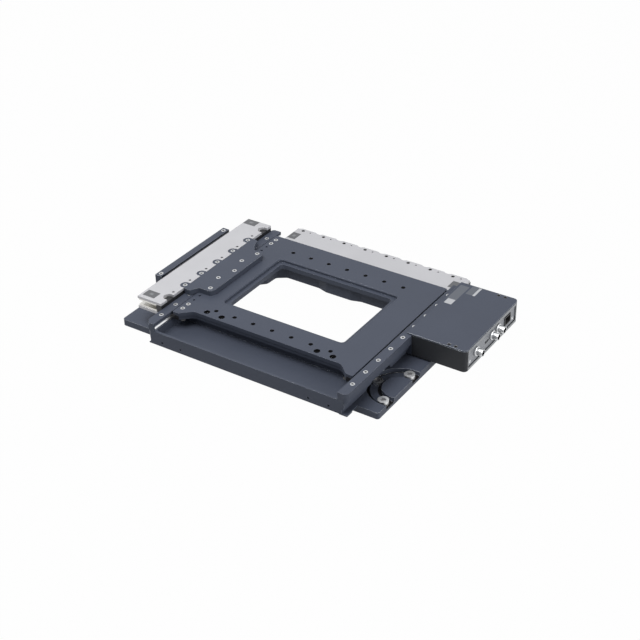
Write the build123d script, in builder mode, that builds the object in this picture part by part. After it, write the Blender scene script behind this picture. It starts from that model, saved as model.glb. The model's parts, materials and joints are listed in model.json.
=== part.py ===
from build123d import *
import os

# A low two-axis linear-motor stage. The base plate carries the X guides and the rear magnet track.
# The lower frame slides on it along X. The top plate, with the insert opening, slides on the frame
# along Y and carries the left magnet track. Millimetres. The origin lies in the base's underside,
# below the middle of the insert opening; +X is right, +Y is back, +Z is up.

# Travel
x_travel = 130.0
y_travel = 100.0
y_middle = 15.0  # the shown pose is this far in front of the middle of the Y travel
play = 0.3
overshoot = 1.0  # how far a cut runs past the edge that it opens

# Heights
base_thickness = 8.0
slide_gap = 2.0
frame_floor = 6.0
frame_height = 16.0
beam_relief = 1.0
bar_thickness = 3.2
plate_gap = 1.0
plate_thickness = 9.0
bracket_rise = 6.0

# Base plate
base_left = -184.0
base_right = 154.7
base_front = -109.5
base_rear = 154.0
base_wing_rear = 96.0
base_box_rear = 112.0
base_neck = 122.5
base_corner = 3.0
base_opening_length = 208.0
base_opening_width = 138.0
base_opening_corner = 12.0
base_opening_y = 7.0
base_hole_x = 115.0
base_hole_y = 101.0
base_hole_radius = 3.3
base_hole_head_radius = 5.5
base_hole_head_depth = 4.5
arc_center = (150.0, -59.2)
arc_screw_radius = 27.0
arc_groove_width = 16.0
arc_groove_depth = 5.0
arc_screw = (6.0, arc_groove_depth, 3.0)
arc_screw_angles = (98.0, 180.0, 262.0)

# Crossed-roller guides
rail_width = 7.5
rail_height = 6.0
rail_gap = 1.6
rail_step = 0.8
rail_hole_inset = 5.5
rail_edge = 0.2
roller_diameter = 3.0
roller_length = 2.8
roller_play = 0.02
roller_pitch = 10.0
roller_count = 12
cage_thickness = 0.8
cage_height = 5.6
cage_margin = 6.0
cage_window = 4.5
x_guide_front = -72.0
x_guide_rear = 83.0
x_fixed_rail_length = 228.0
x_moving_rail_length = 220.0
x_rail_screw_pitch = 50.0
guide_middle_x = 1.1
y_guide_half = 117.9
y_cage_middle = 5.0
y_rail_screw_pitch = 50.0
end_stop = 1.5

# Lower frame
frame_left_shoulder = 20.2
frame_right_shoulder = 12.3
frame_front = -131.7
frame_rear = 112.0
frame_chamfer = 13.5
frame_corner = 5.0
rail_front_setback = 1.7
rim_thickness = 3.0
tray_back = -82.0
tray_corner = 4.0
bar_rear = 110.4
bar_left_shoulder = 12.4
bar_corner = 4.0
bar_screw_first = -111.5
bar_screw_pitch = 25.0
bar_screw_count = 9
opening_margin = 20.9
opening_front = -60.0
opening_rear = 59.5
opening_corner = 5.0
undercut_depth = 6.7
undercut_height = 6.5
step_depth = 3.8
step_height = 14.0
side_groove_depth = 5.3
side_groove_height = 0.9
relief_depth = 19.0
relief_height = 12.7
relief_bottom = (-84.0, -34.6)
relief_top = (-74.0, -45.0)
front_hole_radius = 1.3
front_hole_depth = 5.0
front_hole_height = 14.0
front_hole_spots = (-107.5, -82.5, 84.0, 109.0)

# Magnet tracks
track_width = 33.6
track_height = 15.5
track_plate_thickness = 3.0
track_margin = 1.0
spacer_width = 7.0
magnet_width = 25.0
magnet_height = 2.2
magnet_length = 13.5
magnet_pitch = 15.0
coil_thickness = 4.1
track_hole_pitch = 30.0
track_hole_inset = 4.4
track_screw = (2.1, 2.0, 1.5)
dot_screw = (1.5, 1.0, 1.0)
small_hole_shift = 10.5
small_hole_radius = 1.2
scallop_radius = 7.0
scallop_depth = 1.9
x_track_length = 240.0
x_track_middle = -0.5
x_track_front = 119.9
x_track_recess = 3.5
x_track_fit = 0.5
x_track_first_hole = 9.0
x_coil_length = 105.0
y_track_length = 210.0
y_track_middle = 2.0
y_track_inset = 13.1
y_coil_length = 110.0
notch_shift = 1.5
notch_count = 7
tooth_width = 11.0
tooth_inset = 2.7
dot_shift = 10.9

# Coil carriers
coil_tip_gap = 1.0
coil_seat = 3.0
x_coil_bar_length = 130.0
x_coil_bar_depth = 6.0
x_coil_bar_height = 11.0
y_coil_bar_reach = 17.5
y_coil_bar_width = 9.0
y_coil_bar_length = 130.0
y_coil_bar_middle = 13.5
y_coil_bar_height = 14.0
arm_thickness = 6.0
arm_overlap = 7.4
coil_screw = (2.6, 2.0, 1.5)
coil_screw_inset = 5.5

# Top plate
plate_rear = 98.7
plate_front = -89.0
lobe_front = -101.2
lobe_width = 8.4
lobe_flare = 13.0
lobe_radius = 6.0
root_radius = 10.0
plate_corner = 2.0
plate_step = 0.8
insert_length = 160.5
insert_width = 112.5
insert_depth = 3.5
insert_corner = 5.0
insert_chamfer = 1.0
insert_ledge = 5.0
row_pitch = 25.0
row_count = 7
row_y = 75.0
row_hole_radius = 2.5
front_hole_x = (62.5, 82.5)
front_hole_y = -82.0
front_bore_radius = 2.6
front_bore_head = (3.6, 2.5)
plate_screw = (2.6, 1.5, 1.5)
plate_screw_rows = (-89.5, -79.5, 80.0, 90.0)
spare_hole_rows = (-69.5, -59.0, 60.5, 70.5)

# Bracket from the plate to the left track
bracket_reach = 19.8
bracket_gap = 0.6
bracket_recess = 0.4
bracket_corner = 3.5
bracket_screw_spots = ((12.6, -46.9), (6.7, -24.2), (13.0, -2.1), (6.8, 20.5), (12.6, 43.1))

# Fasteners: head radius, head height, thread radius
small_screw = (2.6, 1.5, 1.5)
fine_screw = (2.1, 1.2, 1.2)
rail_screw = (1.8, 1.4, 1.0)
thread_play = 0.05
socket_ratio = 0.55
rail_thread = 4.0
track_thread = 2.5
bar_thread = 2.8
arm_thread = 4.0
coil_thread = 4.0
bracket_thread = 3.0
plate_thread = 2.0
plate_screw_depth = 4.0
dot_thread = 1.5
cover_thread = 6.0

# Encoders, stops and bumpers
scale_width = 4.0
scale_thickness = 0.5
x_scale_y = 99.0
x_scale_length = 170.0
y_scale_inset = 15.0
y_scale_length = 130.0
head_length = 22.0
head_width = 8.0
head_air = 0.6
x_head_height = 3.6
y_head_height = 5.0
stop_pin_radius = 3.0
stop_pin_depth = 5.0
stop_slot_depth = 3.6
x_stop_y = -98.0
y_stop_inset = 12.8
bumper_radius = 3.0
bumper_inset = 11.5
bumper_y = -96.5

# Controller box
box_length = 65.7
box_front = -3.0
box_rear = 118.5
box_corner = 5.0
box_wall = 2.5
box_right_wall = 5.0
box_floor = 7.3
tunnel_end = 16.0
cover_thickness = 1.6
cover_lap = 5.8
cover_screw_columns = (22.6, 14.6)
cover_screw_inset = 3.6
boss_length = 18.0
boss_depth = 5.0
panel_thickness = 2.0
panel_recess = 3.0
panel_margin_y = 6.0
panel_margin_z = 3.2
panel_play = 0.2
panel_lip_y = 9.0
panel_lip_z = 2.0
panel_screw_spots = ((8.0, 18.0), (107.5, 18.0))
socket_spots = ((21.0, 24.5), (57.0, 24.5), (71.0, 25.5))
socket_radius = 4.0
socket_bore = 3.0
socket_tail = 9.0
socket_reach = 8.0
nut_radius = 5.6
nut_thickness = 2.4
nut_chamfer = 0.6
jack_spot = (94.0, 24.0)
jack_width = 14.0
jack_height = 11.0
jack_wall = 1.4
jack_depth = 10.0
window_spot = (46.0, 22.0)
window_width = 9.0
window_height = 3.0
board_left_gap = 5.7
board_right_gap = 11.0
board_inset = 9.0
board_thickness = 1.6
post_height = 1.5
post_radius = 2.5
post_inset = 4.0

# Derived heights
frame_bottom = base_thickness + slide_gap
floor_top = frame_bottom + frame_floor
seat = frame_bottom + frame_height
beam_top = seat - beam_relief
bar_bottom = seat + rail_height
bar_top = bar_bottom + bar_thickness
plate_bottom = seat + plate_gap
plate_top = plate_bottom + plate_thickness
plate_line = plate_bottom + plate_thickness / 2
moving_rail_bottom = seat + rail_step
moving_rail_top = moving_rail_bottom + rail_height
bracket_top = plate_top + bracket_rise
bracket_bottom = plate_top - bracket_recess
y_track_bottom = bracket_top - track_height
tooth_bottom = bracket_top - track_plate_thickness
x_track_bottom = base_thickness - x_track_recess
x_groove_top = base_thickness + rail_step + rail_height
cover_top = bar_top + cover_thickness
box_floor_top = frame_bottom + box_floor
board_bottom = box_floor_top + post_height
coil_shift = (track_height - coil_thickness) / 2
x_fixed_top = base_thickness + rail_height
x_moving_bottom = base_thickness + rail_step
x_head_top = base_thickness + scale_thickness + head_air + x_head_height
y_head_bottom = plate_bottom - head_air - y_head_height
x_coil_bar_bottom = base_thickness + plate_gap
arm_top = beam_top - plate_gap
arm_bottom = arm_top - arm_thickness

# Derived places
half_gap = rail_gap / 2
groove_half = (roller_diameter + 2 * roller_play) / 2**0.5
groove_depth = groove_half - half_gap
groove_height = (rail_height + rail_step) / 2
moving_groove = groove_height - rail_step
left_guide = guide_middle_x - y_guide_half
right_guide = guide_middle_x + y_guide_half
frame_left = left_guide - frame_left_shoulder
frame_right = right_guide + frame_right_shoulder
bar_left_outer = left_guide - bar_left_shoulder
opening_half = y_guide_half - opening_margin
lobe_inner = y_guide_half - lobe_width
lobe_root = lobe_inner - lobe_flare
y_track_right = left_guide - y_track_inset
bracket_left = y_track_right + bracket_gap
bracket_right = left_guide + bracket_reach
y_stop_x = left_guide + y_stop_inset
y_scale_x = right_guide - y_scale_inset
bumper_x = y_guide_half - bumper_inset
box_right = frame_right + box_length
box_tunnel_right = box_right - tunnel_end
cover_left = frame_right - cover_lap
cover_screw_x = [box_right - column for column in cover_screw_columns]
socket_inner_end = box_right - socket_tail
board_left = frame_right + board_left_gap
board_right = box_right - board_right_gap
fixed_face = y_guide_half + half_gap
moving_face = y_guide_half - half_gap
tray_left = guide_middle_x - fixed_face
tray_right = guide_middle_x + fixed_face
plate_half = moving_face + rail_edge
rail_hole_offset = half_gap + rail_hole_inset
x_track_rear = x_track_front + track_width
y_track_left = y_track_right - track_width
y_coil_bar_outer = y_track_left - y_coil_bar_reach
y_fixed_front = frame_front + rail_front_setback
y_moving_front = lobe_front + end_stop
y_moving_rear = plate_rear - end_stop
panel_right = box_right - panel_recess + panel_thickness
y_fixed_length = bar_rear - y_fixed_front
y_moving_length = y_moving_rear - y_moving_front
y_rail_left_back = tray_left - rail_width
y_rail_right_back = tray_right + rail_width
y_coil_bar_range = (y_coil_bar_middle - y_coil_bar_length / 2, y_coil_bar_middle + y_coil_bar_length / 2)
opening_points = (
    (opening_half, opening_front),
    (opening_half, 25.0),
    (opening_half - 11.0, 36.0),
    (opening_half - 12.0, 52.0),
    (opening_half - 23.0, opening_rear),
    (29.0, opening_rear),
    (17.0, 56.0),
)
bracket_points = (
    (bracket_right, -47.5),
    (bracket_right, 42.0),
    (bracket_right - 4.0, 48.5),
    (bracket_right - 15.0, 48.5),
    (bracket_right - 21.0, 57.0),
    (bracket_right - 25.5, 69.0),
    (bracket_left, 69.0),
    (bracket_left, -62.5),
    (bracket_right - 23.8, -63.9),
    (bracket_right - 18.2, -53.6),
    (bracket_right - 3.0, -53.2),
)
x_groove_ranges = (
    (x_guide_front - half_gap - rail_width - play, x_guide_front + half_gap + rail_width),
    (x_guide_rear - half_gap - rail_width, x_guide_rear + half_gap + rail_width + play),
)
rebate_ranges = (
    (left_guide + half_gap, left_guide + half_gap + rail_width),
    (right_guide - half_gap - rail_width, right_guide - half_gap),
)
panel_rows = (box_front + panel_margin_y, box_rear - panel_margin_y)
panel_levels = (frame_bottom + panel_margin_z, bar_top - panel_margin_z)
board_rows = (box_front + board_inset, box_rear - board_inset)
boss_middle = (cover_screw_x[0] + cover_screw_x[1]) / 2
boss_columns = (boss_middle - boss_length / 2, boss_middle + boss_length / 2)
boss_ranges = (
    (box_front + box_wall, box_front + box_wall + boss_depth),
    (box_rear - box_wall - boss_depth, box_rear - box_wall),
)

bar_rows = [bar_screw_first + bar_screw_pitch * i for i in range(bar_screw_count)]
x_rail_columns = [x_rail_screw_pitch * (i - 2) for i in range(5)]
y_rail_rows = [y_rail_screw_pitch * (i - 1) for i in range(3)]
notch_rows = [notch_shift + track_hole_pitch * (i - notch_count // 2) for i in range(notch_count)]
tooth_rows = [y_track_middle + row for row in notch_rows[1:-1]]
dot_rows = [row + dot_shift for row in notch_rows[:-1]]
x_hole_rows = [x_track_first_hole - x_track_length / 2 + track_hole_pitch * i for i in range(8)]
x_scallop_rows = [track_hole_pitch * (i - 4) for i in range(9)]
left_plate_screw_x = left_guide + rail_hole_offset
track_hole_x = y_track_right - track_hole_inset
track_hole_y = x_track_rear - track_hole_inset
box_holes = [(x, y) for x in cover_screw_x for y in (box_front + cover_screw_inset, box_rear - cover_screw_inset)]
arm_screw_x = frame_left + arm_overlap / 2
arm_rows = [y_coil_bar_middle + y_rail_screw_pitch * (i - 1) for i in range(3)]
bar_spots = [(x, y) for x in (left_guide - rail_hole_offset, right_guide + rail_hole_offset) for y in bar_rows]
x_fixed_spots = [
    (x, y) for x in x_rail_columns for y in (x_guide_front - rail_hole_offset, x_guide_rear + rail_hole_offset)
]
x_moving_spots = [
    (x, y) for x in x_rail_columns for y in (x_guide_front + rail_hole_offset, x_guide_rear - rail_hole_offset)
]
y_moving_spots = [
    (x, y) for x in (left_guide + rail_hole_offset, right_guide - rail_hole_offset) for y in y_rail_rows
]
x_track_spots = [(x_track_middle + x, track_hole_y) for x in x_hole_rows]
dot_spots = [(track_hole_x, y_track_middle + row) for row in dot_rows]
tooth_x = y_track_right - tooth_inset
tooth_thread = bracket_rise + bracket_thread - track_plate_thickness
plate_side_spots = [(left_guide + x, y) for x, y in bracket_screw_spots]
bracket_spots = [*plate_side_spots, *[(tooth_x, y) for y in tooth_rows]]
arc_place = Location((arc_center[0], arc_center[1], base_thickness))
arc_spots = [
    arc_place * Location((0, 0, 0), (0, 0, angle)) * Location((arc_screw_radius, 0, 0)) for angle in arc_screw_angles
]
x_track_place = Location((x_track_middle, x_track_front, x_track_bottom))
y_track_place = Location((y_track_left, y_track_middle, y_track_bottom), (0, 0, -90))
y_fixed_plane = Plane.XZ.offset(-(y_fixed_front + bar_rear) / 2)
y_moving_plane = Plane.XZ.offset(-(y_moving_front + y_moving_rear) / 2)
panel_screw_places = [Location((panel_right, y, z), (0, 90, 0)) for y, z in panel_screw_spots]
post_spots = [
    (x, y)
    for x in (board_left + post_inset, board_right - post_inset)
    for y in (board_rows[0] + post_inset, board_rows[1] - post_inset)
]
coil_bar_x = y_coil_bar_outer + y_coil_bar_width / 2
coil_bar_rows = [y_coil_bar_middle + s * (y_coil_bar_length / 2 - coil_screw_inset) for s in (-1, 1)]


def save(piece, name):
    """Name a finished piece and write it."""
    piece.part.label = name
    export_step(piece.part, "parts/" + name + ".step")


def guide_plane(along, place):
    """The upright plane in the middle of a guide, its local x along the travel and its local y up."""
    if along == "x":
        return Plane(origin=(0, place, base_thickness + groove_height), x_dir=(1, 0, 0), z_dir=(0, -1, 0))
    return Plane(origin=(place, y_cage_middle, seat + groove_height), x_dir=(0, 1, 0), z_dir=(1, 0, 0))


def slab(x, y, z, mode=Mode.ADD):
    """A straight block between (low, high) ranges, in the part being built."""
    with Locations(((x[0] + x[1]) / 2, (y[0] + y[1]) / 2, (z[0] + z[1]) / 2)):
        Box(x[1] - x[0], y[1] - y[0], z[1] - z[0], mode=mode)


def screw(kind, length, socket=True):
    """A screw with a flat head, the middle of its top at the origin, pointing down."""
    head_radius, head_height, thread_radius = kind
    with BuildPart() as body:
        with BuildSketch():
            Circle(head_radius)
        extrude(amount=-head_height)
        with BuildSketch(Plane.XY.offset(-head_height)):
            Circle(thread_radius - thread_play)
        extrude(amount=head_height - length)
        if socket:
            with BuildSketch():
                RegularPolygon(head_radius * socket_ratio, 6)
            extrude(amount=-head_height / 2, mode=Mode.SUBTRACT)
    return body.part


def head_holes(kind, spots):
    """Stepped holes for screws of one kind, from each spot down through the part being built."""
    head_radius, head_height, thread_radius = kind
    with Locations(*spots):
        CounterBoreHole(thread_radius, head_radius + thread_play, head_height)


def blind_holes(radius, depth, spots):
    """Plain holes of a set depth, from each spot down into the part being built."""
    with Locations(*spots):
        Hole(radius, depth)


def upward(spots):
    """The same spots, looked at from below."""
    return [Location(spot, (180, 0, 0)) for spot in spots]


def rail(plane, face, side, bottom, groove, length):
    """A ground rail, its V groove in the face towards the rollers. The plane stands across it."""
    back = face - side * rail_width
    with BuildPart() as bar:
        with BuildSketch(plane):
            with BuildLine():
                Polyline(
                    (face, bottom),
                    (face, bottom + groove - groove_depth),
                    (face - side * groove_depth, bottom + groove),
                    (face, bottom + groove + groove_depth),
                    (face, bottom + rail_height),
                    (back, bottom + rail_height),
                    (back, bottom),
                    close=True,
                )
            make_face()
        extrude(amount=length / 2, both=True)
    return bar.part


def cage(plane):
    """The thin strip between two rails, with a window for each roller, in the guide's own plane."""
    with BuildPart() as strip:
        with BuildSketch(plane):
            Rectangle(roller_pitch * (roller_count - 1) + 2 * cage_margin, cage_height)
            with GridLocations(roller_pitch, 1, roller_count, 1):
                Rectangle(cage_window, cage_window, mode=Mode.SUBTRACT)
        extrude(amount=cage_thickness / 2, both=True)
    return strip.part


def roller_row(plane):
    """The rollers of one guide in its plane. Each leans the other way from the one before it."""
    with BuildPart() as row:
        for i in range(roller_count):
            spot = Location((roller_pitch * (i - (roller_count - 1) / 2), 0, 0))
            lean = Location((0, 0, 0), (45 if i % 2 else -45, 0, 0))
            with Locations(plane.location * spot * lean):
                Cylinder(roller_diameter / 2, roller_length)
    return row.part


def track_plate(length, notches, notch_radius, notch_inset, holes, small_holes, kind):
    """A track's upper plate, its open edge at y = 0, with notches and holes along the closed edge."""
    with BuildPart() as plate:
        with BuildSketch():
            with Locations((0, track_width / 2)):
                Rectangle(length, track_width)
            with Locations(*[(x, track_width - notch_inset) for x in notches]):
                Circle(notch_radius, mode=Mode.SUBTRACT)
            if notch_inset > 0:
                with Locations(*[(x, track_width) for x in notches]):
                    Rectangle(2 * notch_radius, 2 * notch_inset, mode=Mode.SUBTRACT)
            with Locations(*[(x, track_width - track_hole_inset) for x in small_holes]):
                Circle(small_hole_radius, mode=Mode.SUBTRACT)
        extrude(amount=track_plate_thickness)
        head_holes(kind, [(x, track_width - track_hole_inset, track_plate_thickness) for x in holes])
    return plate.part


def magnet_rows(length):
    """Both rows of magnets of a track, on the inner faces of its two plates."""
    count = int(length / magnet_pitch)
    with BuildPart() as rows:
        middle = track_margin + magnet_width / 2
        low = track_plate_thickness + magnet_height / 2
        high = track_height - low
        with Locations((0, middle, low), (0, middle, high)):
            with GridLocations(magnet_pitch, 1, count, 1):
                Box(magnet_length, magnet_width, magnet_height)
    return rows.part


os.makedirs("parts", exist_ok=True)

# Base plate: flat, with a wide opening, a horseshoe groove on the right and a seat for the rear track
with BuildPart() as base_plate:
    with BuildSketch():
        with BuildLine():
            Polyline(
                (base_left, base_front),
                (base_right, base_front),
                (base_right, base_box_rear),
                (base_neck, base_box_rear),
                (base_neck, base_rear),
                (-base_neck, base_rear),
                (-base_neck, base_wing_rear),
                (base_left, base_wing_rear),
                close=True,
            )
        make_face()
        fillet(vertices(), base_corner)
        with Locations((0, base_opening_y)):
            RectangleRounded(base_opening_length, base_opening_width, base_opening_corner, mode=Mode.SUBTRACT)
    extrude(amount=base_thickness)
    with BuildSketch(Plane.XY.offset(base_thickness)):
        with Locations(arc_center):
            Circle(arc_screw_radius + arc_groove_width / 2)
            Circle(arc_screw_radius - arc_groove_width / 2, mode=Mode.SUBTRACT)
    extrude(amount=-arc_groove_depth, mode=Mode.SUBTRACT)
    slab(
        (x_track_middle - x_track_length / 2 - x_track_fit, x_track_middle + x_track_length / 2 + x_track_fit),
        (x_track_front - x_track_fit, x_track_rear + overshoot),
        (x_track_bottom, base_thickness),
        Mode.SUBTRACT,
    )
    with Locations((0, 0, base_thickness)):
        with GridLocations(2 * base_hole_x, 2 * base_hole_y, 2, 2):
            CounterBoreHole(base_hole_radius, base_hole_head_radius, base_hole_head_depth)
    blind_holes(rail_screw[2], rail_thread + play, [(x, y, base_thickness) for x, y in x_fixed_spots])
    blind_holes(track_screw[2], track_thread + play, [(x, y, x_track_bottom) for x, y in x_track_spots])
    blind_holes(stop_pin_radius, stop_pin_depth, [(0, x_stop_y, base_thickness)])
    blind_holes(arc_screw[2], base_thickness, arc_spots)
save(base_plate, "base_plate")

# Three low-headed screws in the horseshoe groove
with BuildPart() as arc_screws:
    with Locations(*arc_spots):
        add(screw(arc_screw, base_thickness))
save(arc_screws, "arc_screws")

# X guides: fixed rails on the base, moving rails in grooves under the frame
with BuildPart() as x_rail_front_fixed:
    add(rail(Plane.YZ, x_guide_front - half_gap, 1, base_thickness, groove_height, x_fixed_rail_length))
    head_holes(rail_screw, [(x, y, x_fixed_top) for x, y in x_fixed_spots if y < 0])
save(x_rail_front_fixed, "x_rail_front_fixed")

with BuildPart() as x_rail_rear_fixed:
    add(rail(Plane.YZ, x_guide_rear + half_gap, -1, base_thickness, groove_height, x_fixed_rail_length))
    head_holes(rail_screw, [(x, y, x_fixed_top) for x, y in x_fixed_spots if y > 0])
save(x_rail_rear_fixed, "x_rail_rear_fixed")

with BuildPart() as x_fixed_rail_screws:
    with Locations(*[(x, y, x_fixed_top) for x, y in x_fixed_spots]):
        add(screw(rail_screw, rail_height + rail_thread, False))
save(x_fixed_rail_screws, "x_fixed_rail_screws")

with BuildPart() as x_rail_front_moving:
    add(rail(Plane.YZ, x_guide_front + half_gap, -1, x_moving_bottom, moving_groove, x_moving_rail_length))
    head_holes(rail_screw, upward([(x, y, x_moving_bottom) for x, y in x_moving_spots if y < 0]))
save(x_rail_front_moving, "x_rail_front_moving")

with BuildPart() as x_rail_rear_moving:
    add(rail(Plane.YZ, x_guide_rear - half_gap, 1, x_moving_bottom, moving_groove, x_moving_rail_length))
    head_holes(rail_screw, upward([(x, y, x_moving_bottom) for x, y in x_moving_spots if y > 0]))
save(x_rail_rear_moving, "x_rail_rear_moving")

with BuildPart() as x_moving_rail_screws:
    with Locations(*upward([(x, y, x_moving_bottom) for x, y in x_moving_spots])):
        add(screw(rail_screw, rail_height + rail_thread, False))
save(x_moving_rail_screws, "x_moving_rail_screws")

with BuildPart() as x_cages:
    add(cage(guide_plane("x", x_guide_front)))
    add(cage(guide_plane("x", x_guide_rear)))
save(x_cages, "x_cages")

with BuildPart() as x_rollers:
    add(roller_row(guide_plane("x", x_guide_front)))
    add(roller_row(guide_plane("x", x_guide_rear)))
save(x_rollers, "x_rollers")

# Rear magnet track: a U of two steel plates and a spacer, with magnets on both inner faces
with BuildPart() as x_track_lower:
    with Locations(x_track_place):
        with Locations((0, track_width / 2, track_plate_thickness / 2)):
            Box(x_track_length, track_width, track_plate_thickness)
    with Locations(*[(x, y, x_track_bottom + track_plate_thickness) for x, y in x_track_spots]):
        Hole(track_screw[2])
save(x_track_lower, "x_track_lower")

with BuildPart() as x_track_spacer:
    with Locations(x_track_place):
        with Locations((0, track_width - spacer_width / 2, track_height / 2)):
            Box(x_track_length, spacer_width, track_height - 2 * track_plate_thickness)
    with Locations(*[(x, y, x_track_bottom + track_height) for x, y in x_track_spots]):
        Hole(track_screw[2])
save(x_track_spacer, "x_track_spacer")

with BuildPart() as x_track_upper:
    with Locations(x_track_place * Location((0, 0, track_height - track_plate_thickness))):
        add(
            track_plate(
                x_track_length,
                x_scallop_rows,
                scallop_radius,
                scallop_depth - scallop_radius,
                x_hole_rows,
                [x + small_hole_shift for x in x_hole_rows],
                track_screw,
            )
        )
save(x_track_upper, "x_track_upper")

with BuildPart() as x_track_magnets:
    with Locations(x_track_place):
        add(magnet_rows(x_track_length))
save(x_track_magnets, "x_track_magnets")

with BuildPart() as x_track_screws:
    with Locations(*[(x, y, x_track_bottom + track_height) for x, y in x_track_spots]):
        add(screw(track_screw, track_height + track_thread))
save(x_track_screws, "x_track_screws")

# X encoder scale and the pin that ends the X travel
with BuildPart() as x_encoder_scale:
    slab(
        (-x_scale_length / 2, x_scale_length / 2),
        (x_scale_y - scale_width / 2, x_scale_y + scale_width / 2),
        (base_thickness, base_thickness + scale_thickness),
    )
save(x_encoder_scale, "x_encoder_scale")

with BuildPart() as x_stop_pin:
    with BuildSketch(Plane.XY.offset(base_thickness - stop_pin_depth)):
        with Locations((0, x_stop_y)):
            Circle(stop_pin_radius)
    extrude(amount=stop_pin_depth + slide_gap + stop_slot_depth - play)
save(x_stop_pin, "x_stop_pin")

# Outline of the lower frame, with its cut front-left corner
with BuildSketch() as frame_outline:
    with BuildLine():
        Polyline(
            (frame_left, frame_front + frame_chamfer),
            (frame_left + frame_chamfer, frame_front),
            (frame_right, frame_front),
            (frame_right, frame_rear),
            (frame_left, frame_rear),
            close=True,
        )
    make_face()
    fillet(frame_outline.vertices().group_by(Axis.X)[-1], frame_corner)

# Lower frame: front tray, raised shoulders for the Y rails, a wide opening with wavy rear corners
with BuildPart() as x_frame:
    with BuildSketch(Plane.XY.offset(frame_bottom)):
        add(frame_outline.sketch)
    extrude(amount=bar_bottom - frame_bottom)
    slab(
        (y_rail_left_back, y_rail_right_back),
        (frame_front - overshoot, frame_rear + overshoot),
        (seat, bar_bottom),
        Mode.SUBTRACT,
    )
    slab(
        (frame_left - overshoot, frame_right + overshoot),
        (bar_rear, frame_rear + overshoot),
        (beam_top, bar_bottom),
        Mode.SUBTRACT,
    )
    slab(
        (frame_left - overshoot, bar_left_outer),
        (frame_front - overshoot, frame_rear),
        (beam_top, bar_bottom),
        Mode.SUBTRACT,
    )
    slab((-opening_half, opening_half), (tray_back, frame_rear), (beam_top, seat), Mode.SUBTRACT)
    with BuildSketch(Plane.XY.offset(seat)):
        with Locations(((tray_left + tray_right) / 2, (frame_front + rim_thickness + tray_back) / 2)):
            RectangleRounded(tray_right - tray_left, tray_back - frame_front - rim_thickness, tray_corner)
    extrude(amount=floor_top - seat, mode=Mode.SUBTRACT)
    with BuildSketch(Plane.XY.offset(frame_bottom)):
        with BuildLine():
            Polyline(*[(-x, y) for x, y in opening_points], *reversed(opening_points), close=True)
        make_face()
        fillet(vertices(), opening_corner)
    extrude(amount=frame_height, mode=Mode.SUBTRACT)
    slab(
        (frame_right - undercut_depth, frame_right + overshoot),
        (frame_front - overshoot, box_front),
        (frame_bottom, frame_bottom + undercut_height),
        Mode.SUBTRACT,
    )
    slab(
        (frame_right - step_depth, frame_right + overshoot),
        (frame_front - overshoot, box_front),
        (frame_bottom, frame_bottom + step_height),
        Mode.SUBTRACT,
    )
    slab(
        (frame_right - side_groove_depth, frame_right + overshoot),
        (frame_front - overshoot, box_front),
        (frame_bottom + step_height - side_groove_height, frame_bottom + step_height),
        Mode.SUBTRACT,
    )
    with BuildSketch(Plane.YZ.offset(frame_right - relief_depth)):
        with BuildLine():
            Polyline(
                (relief_bottom[0], frame_bottom),
                (relief_bottom[1], frame_bottom),
                (relief_top[1], frame_bottom + relief_height),
                (relief_top[0], frame_bottom + relief_height),
                close=True,
            )
        make_face()
    extrude(amount=relief_depth, mode=Mode.SUBTRACT)
    for back, front in x_groove_ranges:
        slab(
            (frame_left - overshoot, frame_right + overshoot),
            (back, front),
            (frame_bottom, x_groove_top),
            Mode.SUBTRACT,
        )
    with BuildSketch(Plane.XY.offset(frame_bottom)):
        with Locations((0, x_stop_y)):
            SlotOverall(x_travel + 2 * (stop_pin_radius + play), 2 * (stop_pin_radius + play))
    extrude(amount=stop_slot_depth, mode=Mode.SUBTRACT)
    slab(
        (-head_length / 2 - play, head_length / 2 + play),
        (x_scale_y - head_width / 2 - play, x_scale_y + head_width / 2 + play),
        (frame_bottom, x_head_top),
        Mode.SUBTRACT,
    )
    slab(
        (y_scale_x - head_width / 2 - play, y_scale_x + head_width / 2 + play),
        (y_middle - head_length / 2 - play, y_middle + head_length / 2 + play),
        (y_head_bottom, seat),
        Mode.SUBTRACT,
    )
    slab(
        (-x_coil_bar_length / 2, x_coil_bar_length / 2),
        (frame_rear - x_coil_bar_depth, frame_rear + overshoot),
        (frame_bottom, x_coil_bar_bottom + x_coil_bar_height),
        Mode.SUBTRACT,
    )
    slab((frame_left - overshoot, frame_left + arm_overlap), y_coil_bar_range, (arm_bottom, beam_top), Mode.SUBTRACT)
    blind_holes(small_screw[2], bar_thread + play, [(x, y, seat) for x, y in bar_spots])
    blind_holes(small_screw[2], arm_thread + play, [(arm_screw_x, y, arm_bottom) for y in arm_rows])
    blind_holes(rail_screw[2], rail_thread + play, upward([(x, y, x_groove_top) for x, y in x_moving_spots]))
    blind_holes(stop_pin_radius, stop_pin_depth, [(y_stop_x, y_middle, seat)])
    with BuildSketch(Plane.XZ.offset(-frame_front)):
        with Locations(*[(x, front_hole_height) for x in front_hole_spots]):
            Circle(front_hole_radius)
    extrude(amount=-front_hole_depth, mode=Mode.SUBTRACT)
save(x_frame, "x_frame")

# Y guides: fixed rails on the frame's shoulders, held down by the two clamp bars
with BuildPart() as y_rail_left_fixed:
    add(rail(y_fixed_plane, tray_left, 1, seat, groove_height, y_fixed_length))
    with Locations(*[(x, y, bar_bottom) for x, y in bar_spots if x < 0]):
        Hole(small_screw[2])
save(y_rail_left_fixed, "y_rail_left_fixed")

with BuildPart() as y_rail_right_fixed:
    add(rail(y_fixed_plane, tray_right, -1, seat, groove_height, y_fixed_length))
    with Locations(*[(x, y, bar_bottom) for x, y in bar_spots if x > 0]):
        Hole(small_screw[2])
save(y_rail_right_fixed, "y_rail_right_fixed")

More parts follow.
